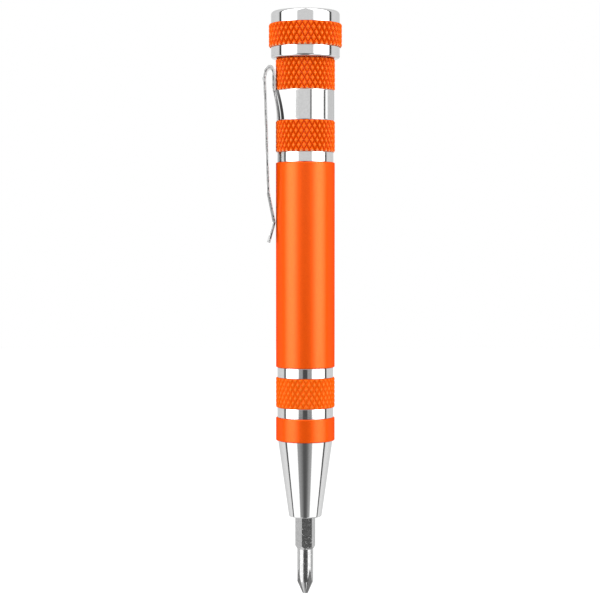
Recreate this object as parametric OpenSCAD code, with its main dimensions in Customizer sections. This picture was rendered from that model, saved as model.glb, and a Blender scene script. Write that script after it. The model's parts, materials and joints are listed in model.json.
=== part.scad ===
// Pocket screwdriver with a spinning cap, a pocket clip and spare bits in the barrel.
// The axis is Z, the bit points down and its point is the origin. Sizes are in millimetres.

/* [Bits] */
// Width across the flats of a bit's hexagon
hex_af = 4; // [3:0.1:6]
// Whole length of a bit
bit_len = 28; // [24:0.5:40]
// Length of the turned shank below the hexagon
shank_len = 10.15; // [8:0.05:12]
// Depth that the shank is turned below the flats
shank_step = 0.175; // [0.1:0.025:0.5]
// Height of the cone that joins the shank to the hexagon
hex_lead = 0.75; // [0.4:0.05:1.5]
// Chamfer round the driven end of the hexagon
hex_chamfer = 0.4; // [0.1:0.05:0.8]
// Height of the cross point's taper
point_h = 2.75; // [1.5:0.05:4]
// Diameter of the cross point's blunt end
point_d = 1.16; // [0.6:0.02:1.8]
// Height at which the flutes of the cross point run out
flute_h = 5.8; // [4:0.1:7.5]
// Distance from the axis to the bottom of a flute at the point
flute_web = 0.3; // [0.15:0.05:0.45]
// Tip diameter of the fine spare cross bit
fine_tip_d = 2; // [1.5:0.1:2.6]
// Tip diameter of the small spare cross bit
small_tip_d = 3; // [2:0.1:3.4]
// Blade width of the wide slotted bit
wide_blade_w = 3.5; // [2.6:0.1:3.6]
// Blade width of the narrow slotted bit
narrow_blade_w = 2.5; // [1.6:0.1:3]
// Thickness of a slotted blade at its end
blade_t = 0.5; // [0.3:0.05:0.8]
// Height of the ground flats of a slotted bit
grind_h = 4.5; // [3:0.1:6]
// Chamfer at the corners of a slotted or lobed tip
blade_relief = 0.1; // [0.05:0.01:0.2]
// Tip diameter of the six-lobed bit
lobed_tip_d = 2.74; // [2:0.02:3.4]
// Height of the six lobes
lobe_h = 3.5; // [2:0.1:5]

/* [Nose] */
// Length of the bit that stands out of the nose
bit_out = 17.5; // [14:0.5:20]
// Height of the nose cone
cone_h = 17.3; // [15:0.1:24]
// Wall of the cone round the socket, at its mouth
nose_wall = 0.65; // [0.4:0.05:1.2]
// Rounding of the cone's mouth
nose_round = 0.4; // [0.1:0.05:0.5]
// Step from the barrel in to the top of the cone
cone_step = 0.45; // [0.1:0.05:0.7]
// Height of the smooth sleeve over the cone
sleeve_h = 5.15; // [3:0.05:8]
// Height of the nose's knurled ring
nose_ring_h = 6.65; // [4:0.05:10]
// Wall of the socket round the corners of the hexagon
socket_wall = 0.65; // [0.4:0.05:1]
// Depth of the socket's face inside the mouth
socket_inset = 0.3; // [0.1:0.05:1]
// Height of the magnet
magnet_h = 3; // [1.5:0.1:4]

/* [Barrel and stems] */
// Wall of the barrel
barrel_wall = 0.95; // [0.8:0.05:1.6]
// Chamfer at the ends of the barrel and the sleeve
edge_chamfer = 0.15; // [0.05:0.05:0.3]
// Room between the two sets of spare bits in the barrel
magazine_gap = 6.75; // [1:0.25:20]
// Length of thread that holds a stem in the barrel
thread_len = 4.5; // [3:0.25:7]
// Wall of a stem under its thread
stem_wall = 0.55; // [0.45:0.05:0.8]
// Depth of the relief under the loose spacer ring
relief_depth = 0.15; // [0.1:0.01:0.2]
// Length of the relief inside the barrel
relief_over = 0.5; // [0.2:0.05:1]
// Height of a spacer ring
spacer_h = 2.35; // [1.2:0.05:4]
// Step from the barrel in to a spacer ring
spacer_step = 0.3; // [0.1:0.05:0.5]
// Chamfer at the ends of a spacer ring
spacer_chamfer = 0.1; // [0.05:0.05:0.2]

/* [Spare bits] */
// Gap between the flats of neighbouring spare bits
bit_gap = 0.55; // [0.3:0.05:1.5]
// Gap from the corner of a spare bit to the stem's bore
reach_gap = 0.115; // [0.08:0.005:0.6]
// Depth of the carrier's face inside its stem
carrier_inset = 3.3; // [0.5:0.1:5]
// Floor under the pockets of a carrier
carrier_floor = 0.5; // [0.3:0.1:2]
// Room under the point of a bit in its pocket
point_room = 0.35; // [0.2:0.05:1]

/* [Knurls] */
// How far a knurled ring stands out from the barrel
ring_proud = 0.025; // [0:0.005:0.3]
// Depth of the knurl's grooves
knurl_depth = 0.3; // [0.1:0.02:0.4]
// Bevel at the ends of a knurled ring
knurl_bevel = 0.35; // [0.2:0.05:0.8]
// Number of diamonds round a grip ring
grip_diamonds = 34; // [20:1:40]
// Height of one row of diamonds on a grip ring
grip_row_h = 1.05; // [0.9:0.05:2]
// Number of diamonds round the cap's ring
cap_diamonds = 40; // [24:1:48]
// Height of one row of diamonds on the cap's ring
cap_row_h = 1.11; // [0.9:0.05:2]

/* [Tail and cap] */
// Height of each knurled ring of the tail
grip_ring_h = 6.95; // [6:0.05:10]
// Height of the clip's band
band_h = 6.8; // [5:0.1:10]
// Running gap under the spinning cap
cap_gap = 0.1; // [0.05:0.01:0.3]
// Depth of the washer's seat in the top of the tail
washer_seat = 0.6; // [0.4:0.05:1]
// Height of the cap's lower flange
flange_h = 2.55; // [1.6:0.05:4]
// Height of the cap's knurled ring
cap_ring_h = 5.15; // [3.5:0.05:8]
// Height of the cap's crown
crown_h = 2.85; // [1.8:0.05:5]
// How far the cap's flange stands out from the barrel
flange_proud = 1.1; // [0.5:0.05:3]
// How far the cap's knurled ring stands out from its flange
cap_ring_proud = 0.475; // [0.35:0.025:1]
// Wall of the cap's knurled ring
cap_ring_wall = 2.05; // [1:0.05:3]
// Rounding of the cap's edges
cap_round = 0.8; // [0.3:0.05:0.8]
// Diameter of the cap's spindle
spindle_d = 4; // [3:0.1:5]
// Thickness of the spindle's retaining ring
retainer_t = 0.7; // [0.4:0.05:1.2]
// How far the retaining ring stands out from the spindle
retainer_reach = 1.6; // [0.8:0.1:2]
// Depth of the spindle's groove
groove_depth = 0.4; // [0.2:0.05:0.7]
// Length of the spindle below its groove
spindle_end = 0.8; // [0.4:0.1:2]
// Room in the tail for the retaining ring
retainer_room = 4.6; // [3:0.1:6]
// Width of the step that the tail's carrier seats on
seat_step = 0.7; // [0.4:0.05:1.2]

/* [Pocket clip] */
// Thickness of the clip's strip
strip_t = 0.5; // [0.3:0.05:0.7]
// Width of the strip at the band
strip_w = 4.6; // [3:0.1:6]
// Width of the strip at its tip
strip_tip_w = 3.8; // [2.4:0.1:6]
// Step from the barrel in to the clip's band
band_step = 0.15; // [0.05:0.05:0.4]
// Gap between the strip's leg and the knurled ring behind it
leg_gap = 0.105; // [0.08:0.005:0.4]
// Inner radius of the loop at the top of the clip
loop_r = 0.87; // [0.6:0.01:1.5]
// Room above the loop, below the cap
loop_room = 1.25; // [0.6:0.05:2.5]
// Length of the clip from the loop's centre to its bead
clip_reach = 33.8; // [29:0.1:37]
// Length of the clip from its bend to its bead
bend_reach = 6.7; // [4:0.1:10]
// Gap between the clip and the barrel at the bend
bend_gap = 1.6; // [1:0.05:3]
// Gap between the bead and the barrel when nothing is clipped
bead_gap = 0.03; // [0.01:0.01:0.3]
// Length of the lifted tip below the bead
tip_len = 4.5; // [2:0.1:7]
// Gap between the lifted tip and the barrel
tip_gap = 1.35; // [0.6:0.05:2.5]
// Radius of the clip's bends
bend_r = 1.6; // [0.8:0.1:3]
// Radius of the bead
bead_r = 0.8; // [0.5:0.1:2]
// Height over the band at which the strip's leg starts to lean in
knee_rise = 0.15; // [0:0.05:0.5]
// Depth below the band's top at which the strip has reached the band
root_drop = 1.65; // [1:0.05:2.5]
// How far the strip still stands out from the band there
root_lean = 0.2; // [0:0.02:0.3]
// Angle that the clip's arm springs open by
clip_opening = 4.5; // [2:0.5:8]
// Gap left between the two halves of the loop when the arm is open
loop_split = 0.05; // [0.03:0.01:0.15]

/* [Fits] */
// Radial clearance of a pressed fit
press_gap = 0.02; // [0.01:0.005:0.03]
// Radial clearance of a running fit
run_gap = 0.05; // [0.03:0.005:0.1]

/* [Hidden] */
$fn = 96;
// how far a cut runs past the face that it opens
overrun = 0.5;

// colours
orange = "#f26a16";
silver = "#d9dbde";
steel = "#a7aab0";
dark_steel = "#6b6e73";
nylon = "#eceae2";
plastic = "#2f3236";

// angles of the bit in the nose and of the pockets in the carriers
hex_turn = 10;
flute_turn = 24.7;
flute_angle = 92;
nose_pockets = [90, 210, 330];
tail_pockets = [30, 150, 270];

// turn of each knurled ring as it stands in the photographed pose
nose_ring_turn = 1.5;
collar_ring_turn = 2.4;
upper_ring_turn = 3.3;
cap_ring_turn = 4.05;

// how far a flute and the round land over a ground tip run, as shares of the cut's height
flute_run_share = 1.15;
land_share = 1.2;
// the lobed bit's form as shares of its tip
lobe_hollow_share = 0.2;
lobe_root_share = 0.72;

// bits
hex_corner_d = hex_af / cos(30);
shank_d = hex_af - 2 * shank_step;

// diameters, from the bundle of three spare bits outward
pocket_circle_r = (hex_af + bit_gap) / sqrt(3);
stem_bore = 2 * (pocket_circle_r + hex_corner_d / 2 + reach_gap);
thread_d = stem_bore + 2 * stem_wall;
relief_d = thread_d - 2 * relief_depth;
barrel_bore = thread_d + 2 * run_gap;
neck_d = barrel_bore;
barrel_d = barrel_bore + 2 * barrel_wall;
ring_d = barrel_d + 2 * ring_proud;
spacer_d = barrel_d - 2 * spacer_step;
band_d = barrel_d - 2 * band_step;
cone_top_d = barrel_d - 2 * cone_step;
ring_bore = neck_d + 2 * press_gap;
loose_bore = relief_d + 2 * run_gap;
carrier_d = stem_bore - 2 * run_gap;
pocket_d = shank_d + 2 * run_gap;
cap_d = barrel_d + 2 * flange_proud;
cap_ring_d = cap_d + 2 * cap_ring_proud;
hub_d = cap_ring_d - 2 * cap_ring_wall;
// the cap's rounding, kept within the height of what it rounds
round_limit_share = 0.45;
flange_round = min(cap_round, round_limit_share * flange_h);
crown_round = min(cap_round, round_limit_share * crown_h);

// socket and magnet in the nose
socket_af = hex_af + 2 * run_gap;
socket_d = socket_af / cos(30) + 2 * socket_wall;
magnet_d = hex_af;
cone_tip_d = socket_d + 2 * nose_wall;

// heights, from the point of the bit upward
carrier_h = shank_len + point_room + carrier_floor;
stem_len = thread_len + relief_over;
magazine_rise = stem_len - carrier_inset + bit_len - shank_len;
barrel_h = 2 * magazine_rise + magazine_gap;
cone_top_z = bit_out + cone_h;
sleeve_top_z = cone_top_z + sleeve_h;
nose_ring_z = sleeve_top_z + spacer_h;
nose_ring_top_z = nose_ring_z + nose_ring_h;
barrel_z = nose_ring_top_z + spacer_h;
barrel_top_z = barrel_z + barrel_h;
collar_z = barrel_top_z + spacer_h;
band_z = collar_z + grip_ring_h;
upper_ring_z = band_z + band_h;
tail_top_z = upper_ring_z + grip_ring_h;
flange_z = tail_top_z + cap_gap;
cap_ring_z = flange_z + flange_h;
crown_z = cap_ring_z + cap_ring_h;
crown_top_z = crown_z + crown_h;
magnet_z = bit_len;
magnet_top_z = magnet_z + magnet_h;

// carriers in the stems
nose_stem_top_z = barrel_z + stem_len;
nose_seat_z = nose_stem_top_z - carrier_inset - carrier_h;
tail_stem_z = barrel_top_z - stem_len;
tail_seat_z = tail_stem_z + carrier_inset + carrier_h;

// the cap's spindle in the tail
core_top_z = tail_top_z - washer_seat;
bearing_z = tail_seat_z + retainer_room;
retainer_z = bearing_z - run_gap - retainer_t;
spindle_z = retainer_z - spindle_end;
chamber_d = stem_bore - 2 * seat_step;

// the clip, seen from the front on the left of the axis
strip_mid = strip_t / 2;
loop_mid_r = loop_r + strip_mid;
loop_x = -(ring_d / 2 + leg_gap + strip_t + loop_r);
loop_z = tail_top_z - loop_room - loop_r - strip_t;
bead_z = loop_z - clip_reach;
bend_z = bead_z + bend_reach;
root_x = -(band_d / 2 - strip_mid);
loop_steps = 16;
bend_steps = 6;
round_steps = 5;

// points on an arc
function arc(centre, r, from, to, steps) =
    [for (i = [0:steps]) let (a = from + (to - from) * i / steps) centre + r * [cos(a), sin(a)]];

// the direction of a vector, and a vector turned a quarter turn
function unit(v) = v / norm(v);
function quarter(v) = [-v.y, v.x];

// the rounded corner at b, on the way from a to c
function bend(a, b, c, r, steps = bend_steps) =
    let (
        back = unit(a - b),
        on = unit(c - b),
        half = acos(back * on) / 2,
        centre = b + unit(back + on) * r / sin(half),
        start = b + back * r / tan(half) - centre,
        end = b + on * r / tan(half) - centre,
        from = atan2(start.y, start.x),
        turn = (atan2(end.y, end.x) - from + 540) % 360 - 180
    )
    arc(centre, r, from, from + turn, steps);

// a path moved sideways by d
function sideways(path, d) =
    let (last = len(path) - 1)
    [for (i = [0:last])
        let (
            before = unit(path[max(i, 1)] - path[max(i, 1) - 1]),
            after = unit(path[min(i, last - 1) + 1] - path[min(i, last - 1)]),
            across = quarter(unit(before + after))
        )
        path[i] + across * d / (across * quarter(before))];

function backwards(path) = [for (i = [len(path) - 1:-1:0]) path[i]];

// a strip of sheet bent along a path in the XZ plane
module strip(path) {
    rotate([90, 0, 0])
        linear_extrude(strip_w, center = true)
            polygon(concat(sideways(path, strip_mid), backwards(sideways(path, -strip_mid))));
}

// a turned tube with chamfered outer edges
module tube(d, bore, h, chamfer) {
    r = d / 2;
    rotate_extrude()
        polygon([
            [bore / 2, 0], [r - chamfer, 0], [r, chamfer],
            [r, h - chamfer], [r - chamfer, h], [bore / 2, h]
        ]);
}

// A ring with a diamond knurl. Where the column and row of a lattice point add up to an even
// number two grooves cross, and the other points are the tops of the diamonds between them.
module knurled_ring(d, bore, h, diamonds, row_h) {
    columns = 2 * diamonds;
    rows = round((h - 2 * knurl_bevel) / row_h);
    pitch = (h - 2 * knurl_bevel) / rows;
    root_r = d / 2 - knurl_depth;
    function is_face(m) = m < 0 || m > rows;
    function radius(k, m) = is_face(m) || (k + m) % 2 == 0 ? root_r : d / 2;
    function height(m) = m < 0 ? 0 : m > rows ? h : knurl_bevel + m * pitch;
    function at(k, m) = (m + 1) * columns + k % columns;
    points = [
        for (m = [-1:rows + 1]) for (k = [0:columns - 1])
            let (a = 180 * k / diamonds)
            [radius(k, m) * cos(a), radius(k, m) * sin(a), height(m)]
    ];
    sides = [
        for (m = [-1:rows]) for (k = [0:columns - 1])
            let (a = at(k, m), b = at(k + 1, m), c = at(k + 1, m + 1), e = at(k, m + 1))
            each (k + m) % 2 == 0 ? [[a, c, b], [a, e, c]] : [[a, e, b], [b, e, c]]
    ];
    lower_end = [for (k = [0:columns - 1]) at(k, -1)];
    upper_end = [for (k = [columns - 1:-1:0]) at(k, rows + 1)];
    difference() {
        polyhedron(points, concat(sides, [lower_end, upper_end]));
        translate([0, 0, -overrun])
            cylinder(d = bore, h = h + 2 * overrun);
    }
}

// the body of a bit: a hexagon led in at both ends over a turned shank, which is thinned to the
// tip's diameter below tip_top and tapers to end_d over taper_h
module bit_body(tip_d, tip_top, end_d, taper_h) {
    shank_r = shank_d / 2;
    corner_r = hex_corner_d / 2;
    wide_r = corner_r + overrun;
    lead = hex_lead / (corner_r - shank_r);
    thinned_by = shank_r - tip_d / 2;
    intersection() {
        cylinder(d = hex_corner_d, h = bit_len, $fn = 6);
        rotate_extrude()
            polygon(concat(
                [[0, 0], [end_d / 2, 0], [tip_d / 2, taper_h]],
                thinned_by > 0 ? [[tip_d / 2, tip_top], [shank_r, tip_top + 2 * thinned_by]] : [],
                [
                    [shank_r, shank_len], [wide_r, shank_len + lead * (wide_r - shank_r)],
                    [wide_r, bit_len - hex_chamfer - overrun],
                    [corner_r - hex_chamfer, bit_len], [0, bit_len]
                ]
            ));
    }
}

// a cross-recess bit: its flutes and taper are to the scale of its tip
module cross_bit(tip_d, turn = 0) {
    size = tip_d / shank_d;
    web = flute_web * size;
    length = flute_h * size;
    lean = atan((tip_d / 2 - web) / length);
    reach = tip_d * tan(flute_angle / 2);
    difference() {
        bit_body(tip_d, length, point_d * size, point_h * size);
        for (a = [0:90:270])
            rotate(a + turn)
                translate([web, 0, 0])
                    rotate([0, lean, 0])
                        translate([0, 0, -overrun])
                            linear_extrude(overrun + flute_run_share * length)
                                polygon([[0, 0], [tip_d, -reach], [tip_d, reach]]);
    }
}

// a slotted bit, its blade hollow ground on both sides
module slot_bit(tip_d) {
    side = (tip_d - blade_t) / 2;
    wheel_r = (side ^ 2 + grind_h ^ 2) / (2 * side);
    wheel = [blade_t / 2 + wheel_r, 0];
    sweep = land_share * asin(grind_h / wheel_r);
    ground = arc(wheel, wheel_r, 180, 180 - sweep, round_steps);
    top = ground[round_steps];
    difference() {
        bit_body(tip_d, land_share * grind_h, tip_d - 2 * blade_relief, blade_relief);
        for (a = [0, 180])
            rotate([90, 0, a])
                linear_extrude(2 * tip_d, center = true)
                    polygon(concat(
                        [[blade_t / 2, -overrun]], ground,
                        [[top.x + tip_d, top.y], [top.x + tip_d, -overrun]]
                    ));
    }
}

// a six-lobed bit
module lobed_bit(tip_d) {
    hollow_r = lobe_hollow_share * tip_d;
    root_r = lobe_root_share * tip_d / 2;
    difference() {
        bit_body(tip_d, land_share * lobe_h, tip_d - 2 * blade_relief, blade_relief);
        for (a = [0:60:300])
            rotate(a)
                translate([root_r + hollow_r, 0, -overrun])
                    cylinder(r = hollow_r, h = lobe_h + overrun);
    }
}

// a moulded plug with pockets for the turned shanks of spare bits
module bit_carrier(pockets) {
    difference() {
        tube(carrier_d, 0, carrier_h, edge_chamfer);
        for (a = pockets)
            rotate(a)
                translate([pocket_circle_r, 0, carrier_floor])
                    cylinder(d = pocket_d, h = carrier_h);
    }
}

// places of a carrier and of a bit in one of its pockets
module in_nose() {
    translate([0, 0, nose_seat_z])
        children();
}

module in_tail() {
    translate([0, 0, tail_seat_z])
        rotate([180, 0, 0])
            children();
}

module in_pocket(a) {
    rotate(a)
        translate([pocket_circle_r, 0, carrier_floor + point_room])
            children();
}

module barrel_sleeve() {
    color(orange)
        translate([0, 0, barrel_z])
            tube(barrel_d, barrel_bore, barrel_h, edge_chamfer);
}

// the cone, its web and the stem that carries the rings and screws into the barrel
module nose_cone() {
    mouth = [cone_tip_d / 2, bit_out];
    shoulder = [cone_top_d / 2, cone_top_z];
    color(silver)
        difference() {
            rotate_extrude()
                polygon(concat(
                    [[0, bit_out]],
                    bend([0, bit_out], mouth, shoulder, nose_round),
                    [
                        shoulder, [neck_d / 2, cone_top_z], [neck_d / 2, nose_ring_top_z],
                        [relief_d / 2, nose_ring_top_z], [relief_d / 2, barrel_z + relief_over],
                        [thread_d / 2, barrel_z + relief_over],
                        [thread_d / 2, nose_stem_top_z - edge_chamfer],
                        [thread_d / 2 - edge_chamfer, nose_stem_top_z], [0, nose_stem_top_z]
                    ]
                ));
            translate([0, 0, bit_out - overrun])
                cylinder(d = socket_d + 2 * press_gap, h = magnet_top_z - bit_out + overrun);
            translate([0, 0, nose_seat_z])
                cylinder(d = stem_bore, h = nose_stem_top_z - nose_seat_z + overrun);
        }
}

module nose_sleeve() {
    color(orange)
        translate([0, 0, cone_top_z])
            tube(barrel_d, ring_bore, sleeve_h, edge_chamfer);
}

module lower_spacer_ring() {
    color(silver)
        translate([0, 0, sleeve_top_z])
            tube(spacer_d, ring_bore, spacer_h, spacer_chamfer);
}

module nose_grip_ring() {
    color(orange)
        translate([0, 0, nose_ring_z])
            rotate(nose_ring_turn)
                knurled_ring(ring_d, ring_bore, nose_ring_h, grip_diamonds, grip_row_h);
}

// loose on the relief of the nose's stem, kept there by the thread above it
module barrel_spacer_ring() {
    color(silver)
        translate([0, 0, nose_ring_top_z])
            tube(spacer_d, loose_bore, spacer_h, spacer_chamfer);
}

// the pressed-in socket: a hexagon for the bit and a round seat for the magnet above it
module bit_socket() {
    face_z = bit_out + socket_inset;
    color(steel)
        difference() {
            translate([0, 0, face_z])
                cylinder(d = socket_d, h = magnet_top_z - face_z);
            rotate(hex_turn)
                translate([0, 0, face_z - overrun])
                    cylinder(d = socket_af / cos(30), h = magnet_z - face_z + overrun, $fn = 6);
            translate([0, 0, magnet_z])
                cylinder(d = magnet_d + 2 * press_gap, h = magnet_h + overrun);
        }
}

module socket_magnet() {
    color(steel)
        translate([0, 0, magnet_z])
            cylinder(d = magnet_d, h = magnet_h);
}

module drive_bit() {
    color(dark_steel)
        rotate(hex_turn)
            cross_bit(shank_d, flute_turn);
}

module nose_carrier() {
    color(plastic)
        in_nose()
            bit_carrier(nose_pockets);
}

module cross_bit_fine() {
    color(dark_steel)
        in_nose() in_pocket(nose_pockets[1])
            cross_bit(fine_tip_d);
}

module cross_bit_small() {
    color(dark_steel)
        in_nose() in_pocket(nose_pockets[2])
            cross_bit(small_tip_d);
}

// the turned core of the tail: stem, neck for the rings, chamber and bearing for the spindle
module tail_core() {
    color(silver)
        difference() {
            rotate_extrude()
                polygon([
                    [0, tail_stem_z], [thread_d / 2 - edge_chamfer, tail_stem_z],
                    [thread_d / 2, tail_stem_z + edge_chamfer],
                    [thread_d / 2, barrel_top_z - relief_over],
                    [relief_d / 2, barrel_top_z - relief_over], [relief_d / 2, collar_z],
                    [neck_d / 2, collar_z], [neck_d / 2, core_top_z], [0, core_top_z]
                ]);
            translate([0, 0, tail_stem_z - overrun])
                cylinder(d = stem_bore, h = tail_seat_z - tail_stem_z + overrun);
            translate([0, 0, tail_stem_z])
                cylinder(d = chamber_d, h = bearing_z - tail_stem_z);
            translate([0, 0, tail_stem_z])
                cylinder(d = spindle_d + 2 * run_gap, h = core_top_z - tail_stem_z + overrun);
        }
}

// loose on the relief of the tail's stem, kept there by the thread below it
module upper_spacer_ring() {
    color(silver)
        translate([0, 0, barrel_top_z])
            tube(spacer_d, loose_bore, spacer_h, spacer_chamfer);
}

module collar_grip_ring() {
    color(orange)
        translate([0, 0, collar_z])
            rotate(collar_ring_turn)
                knurled_ring(ring_d, ring_bore, grip_ring_h, grip_diamonds, grip_row_h);
}

// the clip's band and the leg that rises from it to the top of the loop
module clip_band() {
    loop = [loop_x, loop_z];
    knee = [loop_x + loop_mid_r, upper_ring_z + knee_rise];
    root = [root_x - root_lean, upper_ring_z - root_drop];
    foot = [root_x, band_z];
    color(silver) {
        translate([0, 0, band_z])
            tube(band_d, ring_bore, band_h, edge_chamfer);
        difference() {
            strip(concat(
                arc(loop, loop_mid_r, 90, 0, loop_steps),
                bend([knee.x, loop.y], knee, root, bend_r),
                bend(knee, root, foot, bend_r),
                [foot]
            ));
            translate([0, 0, band_z - overrun])
                cylinder(d = ring_bore, h = band_h + 2 * overrun);
        }
    }
}

// The sprung arm of the same strip, from the top of the loop to the lifted tip. It narrows
// from the band's width to a round end.
module clip_arm() {
    loop = [loop_x, loop_z];
    top = [loop_x - loop_mid_r, loop_z];
    bent = [-(barrel_d / 2 + bend_gap + strip_mid), bend_z];
    bead = [-(barrel_d / 2 + bead_gap + strip_mid), bead_z];
    tip = [-(barrel_d / 2 + tip_gap + strip_mid), bead_z - tip_len];
    split = clip_opening + loop_split / loop_r * 180 / PI;
    width = strip_w / 2;
    tip_r = strip_tip_w / 2;
    color(silver)
        intersection() {
            strip(concat(
                arc(loop, loop_mid_r, 90 + split, 180, loop_steps),
                bend(top, bent, bead, bend_r),
                bend(bent, bead, tip, bead_r),
                [tip]
            ));
            translate([top.x - strip_w, 0, 0])
                rotate([90, 0, 90])
                    linear_extrude(strip_w - top.x)
                        polygon(concat(
                            arc([0, tip.y + tip_r], tip_r, 180, 360, 2 * loop_steps),
                            [[width, top.y], [width, top.y + strip_w], [-width, top.y + strip_w]],
                            [[-width, top.y]]
                        ));
        }
}

module upper_grip_ring() {
    color(orange)
        translate([0, 0, upper_ring_z])
            rotate(upper_ring_turn)
                knurled_ring(ring_d, ring_bore, grip_ring_h, grip_diamonds, grip_row_h);
}

module thrust_washer() {
    color(nylon)
        translate([0, 0, core_top_z])
            tube(neck_d, spindle_d + 2 * run_gap, washer_seat + cap_gap, 0);
}

module tail_carrier() {
    color(plastic)
        in_tail()
            bit_carrier(tail_pockets);
}

module slot_bit_wide() {
    color(dark_steel)
        in_tail() in_pocket(tail_pockets[0])
            slot_bit(wide_blade_w);
}

module slot_bit_narrow() {
    color(dark_steel)
        in_tail() in_pocket(tail_pockets[1])
            slot_bit(narrow_blade_w);
}

module star_bit() {
    color(dark_steel)
        in_tail() in_pocket(tail_pockets[2])
            lobed_bit(lobed_tip_d);
}

// the cap's flange and the hub that carries its knurled ring
module cap_base() {
    r = cap_d / 2;
    color(silver)
        translate([0, 0, flange_z])
            rotate_extrude()
                polygon(concat(
                    [[spindle_d / 2 + press_gap, 0]],
                    arc([r - flange_round, flange_round], flange_round, -90, 0, round_steps),
                    arc([r - flange_round, flange_h - flange_round], flange_round, 0, 90, round_steps),
                    [
                        [hub_d / 2, flange_h], [hub_d / 2, flange_h + cap_ring_h],
                        [spindle_d / 2 + press_gap, flange_h + cap_ring_h]
                    ]
                ));
}

module cap_grip_ring() {
    color(orange)
        translate([0, 0, cap_ring_z])
            rotate(cap_ring_turn)
                knurled_ring(cap_ring_d, hub_d + 2 * press_gap, cap_ring_h, cap_diamonds, cap_row_h);
}

// the crown and the spindle that holds the cap in the tail's bearing
module cap_crown() {
    r = cap_d / 2;
    spindle_r = spindle_d / 2;
    groove_r = spindle_r - groove_depth;
    groove_top_z = retainer_z + retainer_t + press_gap;
    color(silver)
        rotate_extrude()
            polygon(concat(
                [
                    [0, spindle_z], [groove_r, spindle_z],
                    [spindle_r, spindle_z + groove_depth], [spindle_r, retainer_z - press_gap],
                    [groove_r, retainer_z - press_gap], [groove_r, groove_top_z],
                    [spindle_r, groove_top_z], [spindle_r, crown_z]
                ],
                arc([r - crown_round, crown_z + crown_round], crown_round, -90, 0, round_steps),
                arc([r - crown_round, crown_top_z - crown_round], crown_round, 0, 90, round_steps),
                [[0, crown_top_z]]
            ));
}

// the open ring that snaps into the spindle's groove under the bearing
module spindle_clip() {
    inner_d = spindle_d - 2 * groove_depth + 2 * press_gap;
    color(steel)
        translate([0, 0, retainer_z])
            difference() {
                cylinder(d = spindle_d + 2 * retainer_reach, h = retainer_t);
                translate([0, 0, -overrun])
                    cylinder(d = inner_d, h = retainer_t + 2 * overrun);
                translate([0, -groove_depth - inner_d / 4, -overrun])
                    cube([spindle_d + retainer_reach, inner_d / 2 + 2 * groove_depth,
                        retainer_t + 2 * overrun]);
            }
}

barrel_sleeve();
nose_cone();
nose_sleeve();
lower_spacer_ring();
nose_grip_ring();
barrel_spacer_ring();
bit_socket();
socket_magnet();
drive_bit();
nose_carrier();
cross_bit_fine();
cross_bit_small();
tail_core();
upper_spacer_ring();
collar_grip_ring();
clip_band();
clip_arm();
upper_grip_ring();
thrust_washer();
tail_carrier();
slot_bit_wide();
slot_bit_narrow();
star_bit();
cap_base();
cap_grip_ring();
cap_crown();
spindle_clip();
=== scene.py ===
import json
import math
import bpy
import bmesh
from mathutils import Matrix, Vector


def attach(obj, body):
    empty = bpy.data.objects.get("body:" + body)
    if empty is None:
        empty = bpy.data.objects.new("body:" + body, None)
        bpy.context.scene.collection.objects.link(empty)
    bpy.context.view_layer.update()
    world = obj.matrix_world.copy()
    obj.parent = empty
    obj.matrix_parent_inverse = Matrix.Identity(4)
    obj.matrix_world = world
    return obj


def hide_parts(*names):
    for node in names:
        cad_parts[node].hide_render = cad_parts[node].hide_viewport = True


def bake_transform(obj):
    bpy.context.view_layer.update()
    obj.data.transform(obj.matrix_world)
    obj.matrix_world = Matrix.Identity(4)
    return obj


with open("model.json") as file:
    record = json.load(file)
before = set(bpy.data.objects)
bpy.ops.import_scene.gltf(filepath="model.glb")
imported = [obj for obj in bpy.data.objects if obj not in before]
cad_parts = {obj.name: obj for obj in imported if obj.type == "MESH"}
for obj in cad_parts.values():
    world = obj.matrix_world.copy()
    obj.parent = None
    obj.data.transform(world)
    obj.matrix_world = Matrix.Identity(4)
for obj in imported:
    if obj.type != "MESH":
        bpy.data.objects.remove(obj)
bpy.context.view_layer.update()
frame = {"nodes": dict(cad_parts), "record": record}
nodes = frame["nodes"]
scene = bpy.context.scene


onAxis = 1e-6  # a radius below this is a point on the axis


# all sizes below are millimetres, and a mesh is brought to metres where it is made
def makePiece(name, points, faces, material, body, replaced, sharp=34):
    mesh = bpy.data.meshes.new(name)
    mesh.from_pydata([(x / 1000, y / 1000, z / 1000) for x, y, z in points], [], faces)
    tool = bmesh.new()
    tool.from_mesh(mesh)
    bmesh.ops.recalc_face_normals(tool, faces=tool.faces)
    tool.to_mesh(mesh)
    tool.free()
    mesh.shade_smooth()
    mesh.set_sharp_from_angle(angle=math.radians(sharp))
    mesh.materials.append(material)
    piece = bpy.data.objects.new(name, mesh)
    scene.collection.objects.link(piece)
    if body:
        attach(piece, body)
    if replaced:
        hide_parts(*replaced)
    return piece


# two more points close to the ends of each straight stretch, so that it stays flat in the light
def keepFlats(outline, near=0.02, shortest=0.25, nearestAxis=0.1):
    made = []
    for (r, z), (nextR, nextZ) in zip(outline, outline[1:] + outline[:1]):
        length = math.hypot(nextR - r, nextZ - z)
        made.append((r, z))
        if length > shortest and max(r, nextR) > nearestAxis:
            for share in (near / length, 1 - near / length):
                made.append((r + (nextR - r) * share, z + (nextZ - z) * share))
    return made


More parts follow.
